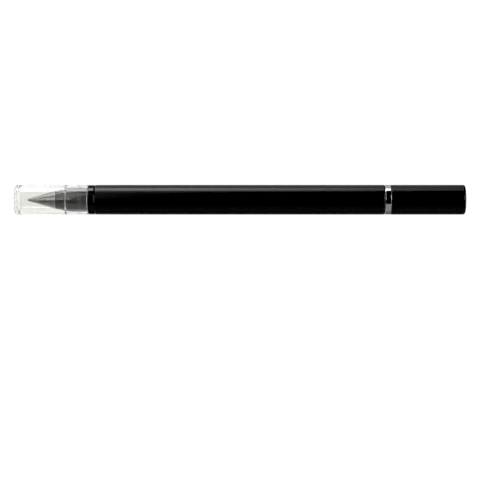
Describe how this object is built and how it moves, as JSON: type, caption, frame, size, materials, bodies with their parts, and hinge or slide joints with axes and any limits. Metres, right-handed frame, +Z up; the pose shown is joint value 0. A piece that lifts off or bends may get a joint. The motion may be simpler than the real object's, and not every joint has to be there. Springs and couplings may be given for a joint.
{
  "type": "dual-tip pen",
  "caption": "Slim round pen with a ballpoint at one end and an inkless pencil tip at the other, each under a push-on cap: clear over the pencil, black over the ballpoint.",
  "frame": {"origin": "on the pen's axis, half-way along the capped pen", "axes": "+X along the pen towards the ballpoint, -X towards the pencil, +Z up as the pen lies flat"},
  "size_m": [0.152, 0.01, 0.01],
  "materials": {
    "anodised_black": "gloss black anodised tube",
    "bush_brass": "turned brass",
    "moulded_black": "moulded gloss black",
    "graphite_alloy": "ground graphite-alloy grey",
    "clear_plastic": "moulded clear",
    "chrome_plate": "bright chrome plate on brass",
    "refill_plastic": "translucent extruded tube",
    "ink": "black oil ink",
    "nickel_silver": "turned nickel silver",
    "ball_carbide": "lapped carbide",
    "liner_plastic": "moulded dark liner"
  },
  "bodies": {
    "barrel": {"barrel": "anodised_black", "ballpoint_bush": "bush_brass", "pencil_holder": "moulded_black", "pencil_tip": "graphite_alloy"},
    "pencil_cap": {"pencil_cap": "clear_plastic"},
    "refill": {"refill_tube": "refill_plastic", "refill_ink": "ink", "refill_point": "nickel_silver"},
    "writing_ball": {"writing_ball": "ball_carbide"},
    "nose": {"nose_cone": "chrome_plate"},
    "ballpoint_cap": {"ballpoint_cap": "anodised_black", "ballpoint_cap_liner": "liner_plastic", "ballpoint_cap_end": "moulded_black"}
  },
  "joints": [
    {"name": "pencil_cap_pull", "type": "slide", "parent": "barrel", "child": "pencil_cap", "axis": [-1, 0, 0], "range_m": [0, 0.03]},
    {"name": "refill_out", "type": "slide", "parent": "barrel", "child": "refill", "axis": [1, 0, 0], "range_m": [0, 0.006]},
    {"name": "nose_screw", "type": "hinge", "parent": "refill", "child": "nose", "pos_m": [0.04888, 0, 0], "axis": [1, 0, 0], "range_deg": [0, 2880]},
    {"name": "ballpoint_cap_pull", "type": "slide", "parent": "nose", "child": "ballpoint_cap", "axis": [1, 0, 0], "range_m": [0, 0.03]},
    {"name": "ball_roll", "type": "hinge", "parent": "refill", "child": "writing_ball", "pos_m": [0.06888, 0, 0], "axis": [0, 1, 0], "continuous": true}
  ],
  "couplings": [
    {"joint": "nose_screw", "follows": "refill_out", "rad_per_m": 8377.6}
  ]
}
